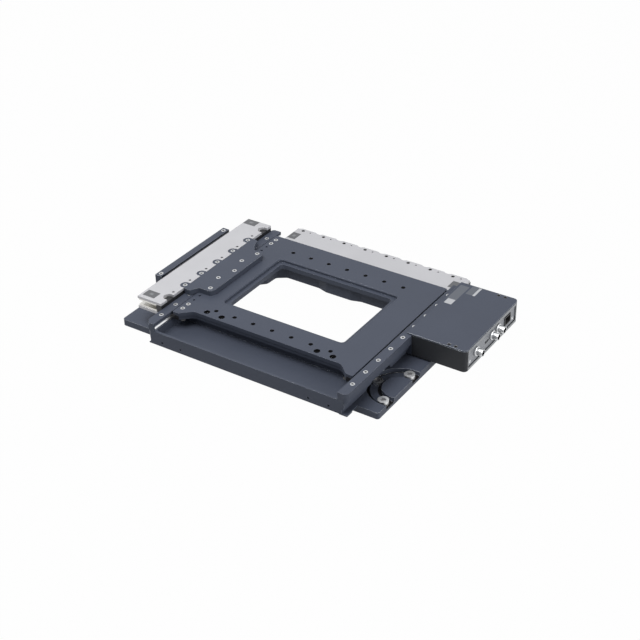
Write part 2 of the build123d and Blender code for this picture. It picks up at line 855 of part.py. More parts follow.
with BuildPart() as clamp_bar_left:
    with BuildSketch(Plane.XY.offset(bar_bottom)):
        add(frame_outline.sketch)
        with Locations(((bar_left_outer + tray_left) / 2, (frame_front + bar_rear) / 2)):
            Rectangle(tray_left - bar_left_outer, bar_rear - frame_front, mode=Mode.INTERSECT)
        fillet(vertices().sort_by(Axis.Y)[-2:].sort_by(Axis.X)[:1], bar_corner)
    extrude(amount=bar_thickness)
    head_holes(small_screw, [(x, y, bar_top) for x, y in bar_spots if x < 0])
save(clamp_bar_left, "clamp_bar_left")

with BuildPart() as clamp_bar_right:
    with BuildSketch(Plane.XY.offset(bar_bottom)):
        add(frame_outline.sketch)
        with Locations(((frame_right + tray_right) / 2, (frame_front + bar_rear) / 2)):
            Rectangle(frame_right - tray_right, bar_rear - frame_front, mode=Mode.INTERSECT)
    extrude(amount=bar_thickness)
    head_holes(small_screw, [(x, y, bar_top) for x, y in bar_spots if x > 0])
save(clamp_bar_right, "clamp_bar_right")

with BuildPart() as clamp_bar_screws:
    with Locations(*[(x, y, bar_top) for x, y in bar_spots]):
        add(screw(small_screw, bar_thickness + rail_height + bar_thread))
save(clamp_bar_screws, "clamp_bar_screws")

with BuildPart() as y_cages:
    add(cage(guide_plane("y", left_guide)))
    add(cage(guide_plane("y", right_guide)))
save(y_cages, "y_cages")

with BuildPart() as y_rollers:
    add(roller_row(guide_plane("y", left_guide)))
    add(roller_row(guide_plane("y", right_guide)))
save(y_rollers, "y_rollers")

# X coil in the rear track, held by a bar let into the frame's rear edge
with BuildPart() as x_coil:
    slab(
        (-x_coil_length / 2, x_coil_length / 2),
        (frame_rear - coil_seat, x_track_rear - spacer_width - coil_tip_gap),
        (x_track_bottom + coil_shift, x_track_bottom + coil_shift + coil_thickness),
    )
save(x_coil, "x_coil")

with BuildPart() as x_coil_bar:
    slab(
        (-x_coil_bar_length / 2, x_coil_bar_length / 2),
        (frame_rear - x_coil_bar_depth, frame_rear),
        (x_coil_bar_bottom, x_coil_bar_bottom + x_coil_bar_height),
    )
    slab(
        (-x_coil_length / 2, x_coil_length / 2),
        (frame_rear - coil_seat, frame_rear),
        (x_track_bottom + coil_shift, x_track_bottom + coil_shift + coil_thickness),
        Mode.SUBTRACT,
    )
save(x_coil_bar, "x_coil_bar")

# Y coil in the left track, on a bar and an arm that reaches under the track
with BuildPart() as y_coil:
    slab(
        (y_coil_bar_outer + y_coil_bar_width - coil_seat, y_track_right - spacer_width - coil_tip_gap),
        (y_middle - y_coil_length / 2, y_middle + y_coil_length / 2),
        (y_track_bottom + coil_shift, y_track_bottom + coil_shift + coil_thickness),
    )
save(y_coil, "y_coil")

with BuildPart() as y_coil_bar:
    slab(
        (y_coil_bar_outer, y_coil_bar_outer + y_coil_bar_width),
        y_coil_bar_range,
        (arm_top, arm_top + y_coil_bar_height),
    )
    slab(
        (y_coil_bar_outer + y_coil_bar_width - coil_seat, y_coil_bar_outer + y_coil_bar_width),
        (y_middle - y_coil_length / 2, y_middle + y_coil_length / 2),
        (y_track_bottom + coil_shift, y_track_bottom + coil_shift + coil_thickness),
        Mode.SUBTRACT,
    )
    head_holes(coil_screw, [(coil_bar_x, y, arm_top + y_coil_bar_height) for y in coil_bar_rows])
save(y_coil_bar, "y_coil_bar")

with BuildPart() as y_coil_arm:
    slab((y_coil_bar_outer, frame_left + arm_overlap), y_coil_bar_range, (arm_bottom, arm_top))
    blind_holes(coil_screw[2], coil_thread + play, [(coil_bar_x, y, arm_top) for y in coil_bar_rows])
    head_holes(small_screw, [(arm_screw_x, y, arm_top) for y in arm_rows])
save(y_coil_arm, "y_coil_arm")

with BuildPart() as coil_bar_screws:
    with Locations(*[(coil_bar_x, y, arm_top + y_coil_bar_height) for y in coil_bar_rows]):
        add(screw(coil_screw, y_coil_bar_height + coil_thread))
save(coil_bar_screws, "coil_bar_screws")

with BuildPart() as arm_screws:
    with Locations(*[(arm_screw_x, y, arm_top) for y in arm_rows]):
        add(screw(small_screw, arm_thickness + arm_thread))
save(arm_screws, "arm_screws")

# Controller box on the frame's right side: milled housing, thin cover, recessed connector panel
with BuildPart() as controller_housing:
    with BuildSketch(Plane.XY.offset(frame_bottom)) as box_outline:
        with Locations(((frame_right + box_right) / 2, (box_front + box_rear) / 2)):
            Rectangle(box_right - frame_right, box_rear - box_front)
        fillet(vertices().group_by(Axis.X)[-1], box_corner)
    extrude(amount=bar_top - frame_bottom)
    slab(
        (frame_right + box_wall, box_right - box_right_wall),
        (box_front + box_wall, box_rear - box_wall),
        (box_floor_top, bar_top),
        Mode.SUBTRACT,
    )
    for front, rear in boss_ranges:
        slab(boss_columns, (front, rear), (box_floor_top, bar_top))
    slab(
        (frame_right, box_tunnel_right),
        (x_guide_rear + half_gap - play, x_groove_ranges[1][1]),
        (frame_bottom, x_groove_top),
        Mode.SUBTRACT,
    )
    slab((box_right - panel_recess, box_right), panel_rows, panel_levels, Mode.SUBTRACT)
    slab(
        (box_right - box_right_wall, box_right),
        (panel_rows[0] + panel_lip_y, panel_rows[1] - panel_lip_y),
        (box_floor_top, panel_levels[1] - panel_lip_z),
        Mode.SUBTRACT,
    )
    with BuildSketch(Plane.XY.offset(box_floor_top)):
        with Locations(*post_spots):
            Circle(post_radius)
    extrude(amount=post_height)
    blind_holes(fine_screw[2], cover_thread + play, [(x, y, bar_top) for x, y in box_holes])
    with Locations(*panel_screw_places):
        Hole(fine_screw[2])
save(controller_housing, "controller_housing")

with BuildPart() as controller_cover:
    with BuildSketch(Plane.XY.offset(bar_top)):
        with Locations(((cover_left + box_right) / 2, (box_front + box_rear) / 2)):
            Rectangle(box_right - cover_left, box_rear - box_front)
        fillet(vertices().group_by(Axis.X)[-1], box_corner)
    extrude(amount=cover_thickness)
    head_holes(fine_screw, [(x, y, cover_top) for x, y in box_holes])
save(controller_cover, "controller_cover")

with BuildPart() as cover_screws:
    with Locations(*[(x, y, cover_top) for x, y in box_holes]):
        add(screw(fine_screw, cover_thickness + cover_thread))
save(cover_screws, "cover_screws")

with BuildPart() as connector_panel:
    slab(
        (panel_right - panel_thickness, panel_right),
        (panel_rows[0] + panel_play, panel_rows[1] - panel_play),
        (panel_levels[0] + panel_play, panel_levels[1] - panel_play),
    )
    with BuildSketch(Plane.YZ.offset(panel_right)):
        with Locations(*socket_spots):
            Circle(socket_radius + thread_play)
        with Locations(jack_spot):
            Rectangle(jack_width + panel_play, jack_height + panel_play)
        with Locations(window_spot):
            SlotOverall(window_width, window_height)
    extrude(amount=-panel_thickness, mode=Mode.SUBTRACT)
    head_holes(fine_screw, panel_screw_places)
save(connector_panel, "connector_panel")

with BuildPart() as panel_screws:
    with Locations(*panel_screw_places):
        add(screw(fine_screw, panel_thickness + box_right_wall - panel_recess))
save(panel_screws, "panel_screws")

with BuildPart() as connector_sockets:
    with BuildSketch(Plane.YZ.offset(socket_inner_end)):
        with Locations(*socket_spots):
            Circle(socket_radius)
    extrude(amount=box_right + socket_reach - socket_inner_end)
    with BuildSketch(Plane.YZ.offset(box_right + socket_reach)):
        with Locations(*socket_spots):
            Circle(socket_bore)
    extrude(amount=-socket_reach - panel_recess, mode=Mode.SUBTRACT)
save(connector_sockets, "connector_sockets")

with BuildPart() as connector_nuts:
    with BuildSketch(Plane.YZ.offset(panel_right)):
        with Locations(*socket_spots):
            Circle(nut_radius)
            Circle(socket_radius, mode=Mode.SUBTRACT)
    extrude(amount=nut_thickness)
    chamfer(connector_nuts.edges().filter_by(GeomType.CIRCLE).group_by(Axis.X)[-1].sort_by(SortBy.RADIUS)[-3:], nut_chamfer)
save(connector_nuts, "connector_nuts")

with BuildPart() as signal_jack:
    with BuildSketch(Plane.YZ.offset(box_right)):
        with Locations(jack_spot):
            Rectangle(jack_width, jack_height)
    extrude(amount=-jack_depth)
    with BuildSketch(Plane.YZ.offset(box_right)):
        with Locations(jack_spot):
            Rectangle(jack_width - 2 * jack_wall, jack_height - 2 * jack_wall)
    extrude(amount=jack_wall - jack_depth, mode=Mode.SUBTRACT)
save(signal_jack, "signal_jack")

with BuildPart() as circuit_board:
    slab((board_left, board_right), board_rows, (board_bottom, board_bottom + board_thickness))
save(circuit_board, "circuit_board")

# Read heads and the pin that ends the Y travel
with BuildPart() as x_encoder_head:
    slab(
        (-head_length / 2, head_length / 2),
        (x_scale_y - head_width / 2, x_scale_y + head_width / 2),
        (x_head_top - x_head_height, x_head_top),
    )
save(x_encoder_head, "x_encoder_head")

with BuildPart() as y_encoder_head:
    slab(
        (y_scale_x - head_width / 2, y_scale_x + head_width / 2),
        (y_middle - head_length / 2, y_middle + head_length / 2),
        (y_head_bottom, y_head_bottom + y_head_height),
    )
save(y_encoder_head, "y_encoder_head")

with BuildPart() as y_stop_pin:
    with BuildSketch(Plane.XY.offset(seat - stop_pin_depth)):
        with Locations((y_stop_x, y_middle)):
            Circle(stop_pin_radius)
    extrude(amount=stop_pin_depth + plate_gap + stop_slot_depth - play)
save(y_stop_pin, "y_stop_pin")

# Outline of the top plate: straight front between two lobes
with BuildSketch() as plate_outline:
    with BuildLine():
        Polyline(
            (guide_middle_x - plate_half, plate_rear),
            (guide_middle_x - plate_half, lobe_front),
            (guide_middle_x - lobe_inner, lobe_front),
            (guide_middle_x - lobe_root, plate_front),
            (guide_middle_x + lobe_root, plate_front),
            (guide_middle_x + lobe_inner, lobe_front),
            (guide_middle_x + plate_half, lobe_front),
            (guide_middle_x + plate_half, plate_rear),
            close=True,
        )
    make_face()
    fillet(plate_outline.vertices().group_by(Axis.Y)[1], root_radius)
    fillet(plate_outline.vertices().group_by(Axis.Y)[0].sort_by(Axis.X)[1:3], lobe_radius)
    fillet(plate_outline.vertices().group_by(Axis.X)[0], plate_corner)
    fillet(plate_outline.vertices().group_by(Axis.X)[-1], plate_corner)

# Outline of the bracket that carries the left track, with an S-shaped front edge
with BuildSketch() as bracket_outline:
    with BuildLine():
        Polyline(*bracket_points, close=True)
    make_face()
    fillet(bracket_outline.vertices().group_by(Axis.X)[1:], bracket_corner)

# Top plate: stepped insert opening, rows of tapped holes, rebates below for the moving rails
with BuildPart() as top_plate:
    with BuildSketch(Plane.XY.offset(plate_line)):
        add(plate_outline.sketch)
    extrude(amount=plate_top - plate_line)
    with BuildSketch(Plane.XY.offset(plate_bottom)):
        add(plate_outline.sketch)
        offset(amount=-plate_step)
    extrude(amount=plate_line - plate_bottom)
    with BuildSketch(Plane.XY.offset(plate_top)):
        RectangleRounded(insert_length, insert_width, insert_corner)
    extrude(amount=-insert_depth, mode=Mode.SUBTRACT)
    chamfer(top_plate.edges(Select.LAST).group_by(Axis.Z)[-1], insert_chamfer)
    with BuildSketch(Plane.XY.offset(plate_top)):
        RectangleRounded(insert_length - 2 * insert_ledge, insert_width - 2 * insert_ledge, insert_corner)
    extrude(amount=-plate_thickness, mode=Mode.SUBTRACT)
    for inner, outer in rebate_ranges:
        slab((inner, outer), (lobe_front, plate_rear), (plate_bottom, moving_rail_top), Mode.SUBTRACT)
    with Locations((0, 0, plate_top)):
        with GridLocations(row_pitch, 2 * row_y, row_count, 2):
            Hole(row_hole_radius)
    with Locations(*[(s * x, front_hole_y, plate_top) for x in front_hole_x for s in (-1, 1)]):
        CounterBoreHole(front_bore_radius, front_bore_head[0], front_bore_head[1])
    head_holes(plate_screw, [(left_plate_screw_x, y, plate_top) for y in plate_screw_rows])
    with Locations(*[(left_plate_screw_x, y, plate_top) for y in spare_hole_rows]):
        Hole(plate_screw[2], plate_top - moving_rail_top)
    with BuildSketch(Plane.XY.offset(plate_top)):
        add(bracket_outline.sketch)
        offset(amount=play)
    extrude(amount=-bracket_recess, mode=Mode.SUBTRACT)
    blind_holes(small_screw[2], bracket_thread + play, [(x, y, bracket_bottom) for x, y in plate_side_spots])
    blind_holes(rail_screw[2], plate_thread, upward([(x, y, moving_rail_top) for x, y in y_moving_spots]))
    with BuildSketch(Plane.XY.offset(plate_bottom)):
        with Locations((y_stop_x, 0)):
            SlotOverall(y_travel + 2 * (stop_pin_radius + play), 2 * (stop_pin_radius + play), 90)
    extrude(amount=stop_slot_depth, mode=Mode.SUBTRACT)
    slab(
        (y_scale_x - scale_width / 2, y_scale_x + scale_width / 2),
        (-y_scale_length / 2, y_scale_length / 2),
        (plate_bottom, plate_bottom + scale_thickness),
        Mode.SUBTRACT,
    )
save(top_plate, "top_plate")

# Moving Y rails under the plate, with end stops that keep the cages in
with BuildPart() as y_rail_left_moving:
    add(rail(y_moving_plane, left_guide + half_gap, -1, moving_rail_bottom, moving_groove, y_moving_length))
    head_holes(rail_screw, upward([(x, y, moving_rail_bottom) for x, y in y_moving_spots if x < 0]))
    blind_holes(plate_screw[2], plate_screw_depth, [(left_plate_screw_x, y, moving_rail_top) for y in plate_screw_rows])
save(y_rail_left_moving, "y_rail_left_moving")

with BuildPart() as y_rail_right_moving:
    add(rail(y_moving_plane, right_guide - half_gap, 1, moving_rail_bottom, moving_groove, y_moving_length))
    head_holes(rail_screw, upward([(x, y, moving_rail_bottom) for x, y in y_moving_spots if x > 0]))
save(y_rail_right_moving, "y_rail_right_moving")

with BuildPart() as y_moving_rail_screws:
    with Locations(*upward([(x, y, moving_rail_bottom) for x, y in y_moving_spots])):
        add(screw(rail_screw, rail_height + plate_thread, False))
save(y_moving_rail_screws, "y_moving_rail_screws")

with BuildPart() as plate_screws:
    with Locations(*[(left_plate_screw_x, y, plate_top) for y in plate_screw_rows]):
        add(screw(plate_screw, plate_top - moving_rail_top + plate_screw_depth))
save(plate_screws, "plate_screws")

with BuildPart() as rail_end_stops:
    for inner, outer in rebate_ranges:
        for low, high in ((lobe_front, y_moving_front), (y_moving_rear, plate_rear)):
            slab((inner, outer), (low, high), (plate_bottom, moving_rail_top))
save(rail_end_stops, "rail_end_stops")

# Bracket that bridges from the plate over the left clamp bar to the moving track
with BuildPart() as track_bracket:
    with BuildSketch(Plane.XY.offset(bracket_bottom)):
        add(bracket_outline.sketch)
    extrude(amount=bracket_top - bracket_bottom)
    with BuildSketch(Plane.XY.offset(tooth_bottom)):
        with Locations(*[(tooth_x, y) for y in tooth_rows]):
            Circle(tooth_width / 2)
        with Locations(*[((tooth_x + bracket_left) / 2, y) for y in tooth_rows]):
            Rectangle(bracket_left - tooth_x, tooth_width)
    extrude(amount=track_plate_thickness)
    head_holes(small_screw, [(x, y, bracket_top) for x, y in bracket_spots])
save(track_bracket, "track_bracket")

with BuildPart() as bracket_screws:
    with Locations(*[(x, y, bracket_top) for x, y in bracket_spots]):
        add(screw(small_screw, bracket_rise + bracket_thread))
save(bracket_screws, "bracket_screws")

# Left magnet track, turned a quarter so that its mouth faces left
with BuildPart() as y_track_lower:
    with Locations(y_track_place):
        with Locations((0, track_width / 2, track_plate_thickness / 2)):
            Box(y_track_length, track_width, track_plate_thickness)
    blind_holes(dot_screw[2], dot_thread + play, [(x, y, y_track_bottom + track_plate_thickness) for x, y in dot_spots])
save(y_track_lower, "y_track_lower")

with BuildPart() as y_track_spacer:
    with Locations(y_track_place):
        with Locations((0, track_width - spacer_width / 2, track_height / 2)):
            Box(y_track_length, spacer_width, track_height - 2 * track_plate_thickness)
    with Locations(*[(x, y, bracket_top) for x, y in dot_spots]):
        Hole(dot_screw[2])
    blind_holes(small_screw[2], tooth_thread + play, [(tooth_x, y, tooth_bottom) for y in tooth_rows])
save(y_track_spacer, "y_track_spacer")

with BuildPart() as y_track_upper:
    with Locations(y_track_place * Location((0, 0, track_height - track_plate_thickness))):
        add(
            track_plate(
                y_track_length,
                [-row for row in notch_rows],
                tooth_width / 2 + play,
                tooth_inset,
                [-row for row in dot_rows],
                [],
                dot_screw,
            )
        )
save(y_track_upper, "y_track_upper")

with BuildPart() as y_track_magnets:
    with Locations(y_track_place):
        add(magnet_rows(y_track_length))
save(y_track_magnets, "y_track_magnets")

with BuildPart() as y_track_screws:
    with Locations(*[(x, y, bracket_top) for x, y in dot_spots]):
        add(screw(dot_screw, track_height - track_plate_thickness + dot_thread, False))
save(y_track_screws, "y_track_screws")

# Scale and two glide pads under the plate
with BuildPart() as y_encoder_scale:
    slab(
        (y_scale_x - scale_width / 2, y_scale_x + scale_width / 2),
        (-y_scale_length / 2, y_scale_length / 2),
        (plate_bottom, plate_bottom + scale_thickness),
    )
save(y_encoder_scale, "y_encoder_scale")

with BuildPart() as corner_bumpers:
    with BuildSketch(Plane.XY.offset(plate_bottom)):
        with Locations((guide_middle_x - bumper_x, bumper_y), (guide_middle_x + bumper_x, bumper_y)):
            Circle(bumper_radius)
    extrude(amount=play - plate_gap)
save(corner_bumpers, "corner_bumpers")
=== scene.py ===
import json
import math

import bmesh
import bpy
from mathutils import Matrix, Vector

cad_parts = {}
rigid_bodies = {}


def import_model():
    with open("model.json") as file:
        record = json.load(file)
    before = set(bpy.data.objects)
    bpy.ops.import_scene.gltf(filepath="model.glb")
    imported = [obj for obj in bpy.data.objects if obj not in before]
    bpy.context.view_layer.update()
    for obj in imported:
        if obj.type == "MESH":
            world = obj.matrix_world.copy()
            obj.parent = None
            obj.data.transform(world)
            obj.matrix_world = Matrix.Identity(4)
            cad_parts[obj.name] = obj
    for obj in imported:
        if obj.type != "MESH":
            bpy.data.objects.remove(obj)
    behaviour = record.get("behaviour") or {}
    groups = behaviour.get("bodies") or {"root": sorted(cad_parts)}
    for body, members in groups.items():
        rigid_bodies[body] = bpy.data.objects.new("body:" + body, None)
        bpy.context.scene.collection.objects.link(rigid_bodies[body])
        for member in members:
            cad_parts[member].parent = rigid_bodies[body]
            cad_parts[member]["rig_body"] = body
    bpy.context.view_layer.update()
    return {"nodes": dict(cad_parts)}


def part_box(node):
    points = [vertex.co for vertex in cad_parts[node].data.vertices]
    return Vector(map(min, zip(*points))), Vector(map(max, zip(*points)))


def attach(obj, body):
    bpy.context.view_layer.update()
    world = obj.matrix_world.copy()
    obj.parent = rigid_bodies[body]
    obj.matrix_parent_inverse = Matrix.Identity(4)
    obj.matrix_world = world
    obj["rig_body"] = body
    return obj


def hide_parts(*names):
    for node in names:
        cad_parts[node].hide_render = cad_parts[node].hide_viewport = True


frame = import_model()
scene = bpy.context.scene
scene.view_settings.view_transform = "Standard"

# The camera stands in front of the stage, to the right of its middle and high above it,
# and looks down past the controller box to the opening in the top plate.
eye = Vector((0.7107, -1.0281, 0.8133))
ahead = Vector((-0.4727, 0.6952, -0.5416)).normalized()
aside = Vector((0.8342, 0.5511, -0.0207))
aside = (aside - ahead * aside.dot(ahead)).normalized()
above = aside.cross(ahead)
camera_data = bpy.data.cameras.new("camera")
camera_data.sensor_width = 36.0
camera_data.lens = 74.37
camera_data.clip_end = 20.0
camera = bpy.data.objects.new("camera", camera_data)
camera.matrix_world = Matrix.Translation(eye) @ Matrix((aside, above, -ahead)).transposed().to_4x4()
scene.collection.objects.link(camera)
scene.camera = camera


# White studio: a white table that keeps a faint shadow and a white surround for the reflections.
# Both show plain white only to the camera, in gloss and through glass, and light the stage less.
def shows_white(tree):
    """The output that is 1 for a ray from the camera, off gloss or through glass."""
    ray = tree.nodes.new("ShaderNodeLightPath")
    seen_or_gloss = tree.nodes.new("ShaderNodeMath")
    seen_or_gloss.operation = "MAXIMUM"
    any_of_three = tree.nodes.new("ShaderNodeMath")
    any_of_three.operation = "MAXIMUM"
    tree.links.new(ray.outputs["Is Camera Ray"], seen_or_gloss.inputs[0])
    tree.links.new(ray.outputs["Is Glossy Ray"], seen_or_gloss.inputs[1])
    tree.links.new(seen_or_gloss.outputs[0], any_of_three.inputs[0])
    tree.links.new(ray.outputs["Is Transmission Ray"], any_of_three.inputs[1])
    return any_of_three.outputs[0]


table_reach = 6.0
paper_grey = 0.30
paper_white_share = 0.985
table_mesh = bpy.data.meshes.new("table")
table_shape = bmesh.new()
bmesh.ops.create_grid(table_shape, x_segments=1, y_segments=1, size=table_reach)
table_shape.to_mesh(table_mesh)
table_shape.free()
table = bpy.data.objects.new("table", table_mesh)
scene.collection.objects.link(table)
table_paper = bpy.data.materials.new("table_paper")
table_paper.use_nodes = True
paper_nodes = table_paper.node_tree.nodes
paper_links = table_paper.node_tree.links
paper_nodes.clear()
paper_out = paper_nodes.new("ShaderNodeOutputMaterial")
paper_mix = paper_nodes.new("ShaderNodeMixShader")
paper_diffuse = paper_nodes.new("ShaderNodeBsdfDiffuse")
paper_diffuse.inputs["Color"].default_value = (paper_grey, paper_grey, paper_grey, 1.0)
paper_glow = paper_nodes.new("ShaderNodeEmission")
paper_glow.inputs["Strength"].default_value = 1.0
paper_share = paper_nodes.new("ShaderNodeMath")
paper_share.operation = "MULTIPLY"
paper_share.inputs[1].default_value = paper_white_share
paper_links.new(shows_white(table_paper.node_tree), paper_share.inputs[0])
paper_links.new(paper_share.outputs[0], paper_mix.inputs[0])
paper_links.new(paper_diffuse.outputs[0], paper_mix.inputs[1])
paper_links.new(paper_glow.outputs[0], paper_mix.inputs[2])
paper_links.new(paper_mix.outputs[0], paper_out.inputs[0])
table_mesh.materials.append(table_paper)

sky_color = (0.95, 0.97, 1.0, 1.0)
sky_strength = 0.22
surround = bpy.data.worlds.new("surround")
scene.world = surround
surround.use_nodes = True
sky_nodes = surround.node_tree.nodes
sky_links = surround.node_tree.links
sky_nodes.clear()
sky_out = sky_nodes.new("ShaderNodeOutputWorld")
sky_light = sky_nodes.new("ShaderNodeBackground")
sky_light.inputs["Color"].default_value = sky_color
sky_light.inputs["Strength"].default_value = sky_strength
sky_seen = sky_nodes.new("ShaderNodeBackground")
sky_seen.inputs["Color"].default_value = (1.0, 1.0, 1.0, 1.0)
sky_seen.inputs["Strength"].default_value = 1.0
sky_mix = sky_nodes.new("ShaderNodeMixShader")
sky_links.new(shows_white(surround.node_tree), sky_mix.inputs[0])
sky_links.new(sky_light.outputs[0], sky_mix.inputs[1])
sky_links.new(sky_seen.outputs[0], sky_mix.inputs[2])
sky_links.new(sky_mix.outputs[0], sky_out.inputs[0])

# Soft boxes: a large one overhead, one low on the right and a weak one on the left.
# Each points at the middle of the stage.
for name, place, size, power in (
    ("box_overhead", (-0.25, -0.5, 1.5), 1.2, 24.0),
    ("box_right", (1.5, 0.1, 0.5), 0.8, 13.0),
    ("box_left", (-1.3, 0.1, 0.8), 0.8, 4.0),
):
    lamp_data = bpy.data.lights.new(name, "AREA")
    lamp_data.size = size
    lamp_data.energy = power
    lamp = bpy.data.objects.new(name, lamp_data)
    lamp.location = place
    lamp.rotation_euler = (-Vector(place)).to_track_quat("-Z", "Y").to_euler()
    scene.collection.objects.link(lamp)


# Base plate: one flat slab of tooling aluminium, sawn and milled, bead blasted and black anodised.
# Its sharp edges are broken, its seat for the rear track and its horseshoe groove are milled in.
def tinted(material, color, grain, amount):
    """A colour that drifts a little over the surface, as a dyed or rolled skin does."""
    tree = material.node_tree
    place = tree.nodes.new("ShaderNodeTexCoord")
    drift = tree.nodes.new("ShaderNodeTexNoise")
    drift.inputs["Scale"].default_value = grain
    drift.inputs["Detail"].default_value = 4.0
    tone = tree.nodes.new("ShaderNodeMix")
    tone.data_type = "RGBA"
    tone.inputs[6].default_value = (*[c * (1.0 - amount) for c in color], 1.0)
    tone.inputs[7].default_value = (*[min(c * (1.0 + amount), 1.0) for c in color], 1.0)
    tree.links.new(place.outputs["Object"], drift.inputs["Vector"])
    tree.links.new(drift.outputs["Fac"], tone.inputs[0])
    tree.links.new(tone.outputs[2], tree.nodes["Principled BSDF"].inputs["Base Color"])
    return place


def roughened(material, place, grain, strength, depth, low, high):
    """Fine relief and uneven gloss, both from one grain."""
    tree = material.node_tree
    shader = tree.nodes["Principled BSDF"]
    grit = tree.nodes.new("ShaderNodeTexNoise")
    grit.inputs["Scale"].default_value = grain
    grit.inputs["Detail"].default_value = 3.0
    tree.links.new(place.outputs["Object"], grit.inputs["Vector"])
    gloss = tree.nodes.new("ShaderNodeMapRange")
    gloss.inputs["To Min"].default_value = low
    gloss.inputs["To Max"].default_value = high
    tree.links.new(grit.outputs["Fac"], gloss.inputs["Value"])
    tree.links.new(gloss.outputs["Result"], shader.inputs["Roughness"])
    relief = tree.nodes.new("ShaderNodeBump")
    relief.inputs["Strength"].default_value = strength
    relief.inputs["Distance"].default_value = depth
    tree.links.new(grit.outputs["Fac"], relief.inputs["Height"])
    tree.links.new(relief.outputs["Normal"], shader.inputs["Normal"])
    return grit


def bare(name, metal=0.0):
    """A new finish before its colour and its grain."""
    material = bpy.data.materials.new(name)
    material.use_nodes = True
    material.node_tree.nodes["Principled BSDF"].inputs["Metallic"].default_value = metal
    return material


def blasted(name, color, low=0.42, high=0.58, metal=0.1, sheen=0.2):
    """Bead-blasted and dyed aluminium: an even fine grain with a dull metal sheen."""
    material = bare(name, metal)
    material.node_tree.nodes["Principled BSDF"].inputs["Specular IOR Level"].default_value = sheen
    place = tinted(material, color, grain=22.0, amount=0.07)
    roughened(material, place, grain=2600.0, strength=0.12, depth=0.00006, low=low, high=high)
    return material


def placed(name, shape, finishes, body):
    """The new piece of that shape, on its body."""
    mesh = bpy.data.meshes.new(name)
    shape.to_mesh(mesh)
    shape.free()
    for finish in finishes:
        mesh.materials.append(finish)
    piece = bpy.data.objects.new(name, mesh)
    scene.collection.objects.link(piece)
    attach(piece, body)
    return piece


def edged(
    node,
    material,
    width=0.0003,
    rim_highlight=None,
    sunk_shade=None,
    shade_bores=(),
    fields=(),
    ends=(),
    soft=True,
):
    """The machined piece with its sharp edges broken, made from the solid's own shape.

    The rim finish, if any, goes on the broken edges as a painted highlight. The sunk finish is
    painted shade in the sockets and comes with their axis, their share of the head and their depth.
    The bores are the places and radii of holes painted black as shade, fields the two corners and
    the finish of each bare label, ends the axis, level and finish of a face.
    """
    source = frame["nodes"][node]
    finishes = [material]
    shape = bmesh.new()
    shape.from_mesh(source.data)
    bmesh.ops.remove_doubles(shape, verts=shape.verts, dist=same_corner)
    for low, high, finish in fields:
        finishes.append(finish)
        marked(shape, low, high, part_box(node)[1].z, len(finishes) - 1)
    if sunk_shade:
        finish, axis, share, depth = sunk_shade
        finishes.append(finish)
        paint_shade_in_sockets(shape, axis, share, depth, len(finishes) - 1)
    for axis, level, finish in ends:
        finishes.append(finish)
        for face in shape.faces:
            if all(abs(vert.co[axis] - level) < same_place for vert in face.verts):
                face.material_index = len(finishes) - 1
    # The holes are painted near black as shade.
    if shade_bores:
        finishes.append(painted_shade_black)
        for x, y, radius in shade_bores:
            for face in shape.faces:
                if all(math.hypot(v.co.x - x, v.co.y - y) < radius for v in face.verts):
                    face.material_index = len(finishes) - 1
    bmesh.ops.dissolve_limit(
        shape,
        angle_limit=math.radians(1.0),
        verts=shape.verts,
        edges=shape.edges,
        use_dissolve_boundaries=False,
        delimit={"MATERIAL"},
    )
    for face in shape.faces:
        face.smooth = soft
    # The broken edges take a paler, more metallic finish: a painted highlight.
    if rim_highlight:
        finishes.append(rim_highlight)
    piece = placed("edged_" + node, shape, finishes, source["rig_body"])
    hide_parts(node)
    breaking = piece.modifiers.new("broken_edges", "BEVEL")
    breaking.width = width
    breaking.segments = 2
    breaking.limit_method = "ANGLE"
    breaking.angle_limit = math.radians(32.0)
    breaking.miter_outer = "MITER_ARC"
    if rim_highlight:
        breaking.material = len(finishes) - 1
    evening = piece.modifiers.new("even_faces", "WEIGHTED_NORMAL")
    evening.mode = "FACE_AREA"
    evening.weight = 90
    return piece


upward = 2
same_corner = 0.000002
same_place = 0.00002
groove_floor = 0.003
dark_plate = blasted("dark_plate", (0.058, 0.067, 0.092))
# Painted highlight: a paler, more metallic finish on the broken edges, standing for the light they
# catch.
painted_edge_highlight = blasted(
    "painted_edge_highlight", (0.42, 0.44, 0.47), low=0.25, high=0.35, metal=0.9, sheen=0.5
)
# Painted shade: a near-black finish for holes, sockets, threads and the groove floor.
painted_shade_black = blasted(
    "painted_shade_black", (0.008, 0.008, 0.009), low=0.6, high=0.7, metal=0.0, sheen=0.1
)
# The floor of the horseshoe groove is painted near black as shade.
edged(
    "base_plate",
    dark_plate,
    width=0.0004,
    rim_highlight=painted_edge_highlight,
    ends=((upward, groove_floor, painted_shade_black),),
)

# Horseshoe rib: the raised track left standing in the groove, under the heads of its screws.
# It is milled with the base and dyed with it.
rib_centre = Vector((0.150, -0.0592, 0.0))
rib_inner = 0.0228
rib_outer = 0.0312
rib_top = 0.0049
rib_start = Matrix.Rotation(math.radians(94.0), 3, "Z")
rib_sweep = math.radians(172.0)
shape = bmesh.new()
rib_profile = (
    (rib_inner, groove_floor),
    (rib_outer, groove_floor),
    (rib_outer, rib_top),
    (rib_inner, rib_top),
)
corners = [
    shape.verts.new(rib_centre + rib_start @ Vector((out, 0.0, up))) for out, up in rib_profile
]
start = shape.faces.new(corners)
bmesh.ops.spin(
    shape, geom=[start], cent=rib_centre, axis=(0, 0, 1), angle=rib_sweep, steps=40
)
bmesh.ops.remove_doubles(shape, verts=shape.verts, dist=same_corner)
bmesh.ops.recalc_face_normals(shape, faces=shape.faces)
horseshoe_rib = placed("horseshoe_rib", shape, [dark_plate], "base")
rib_edges = horseshoe_rib.modifiers.new("broken_edges", "BEVEL")
rib_edges.width = 0.0003
rib_edges.segments = 2


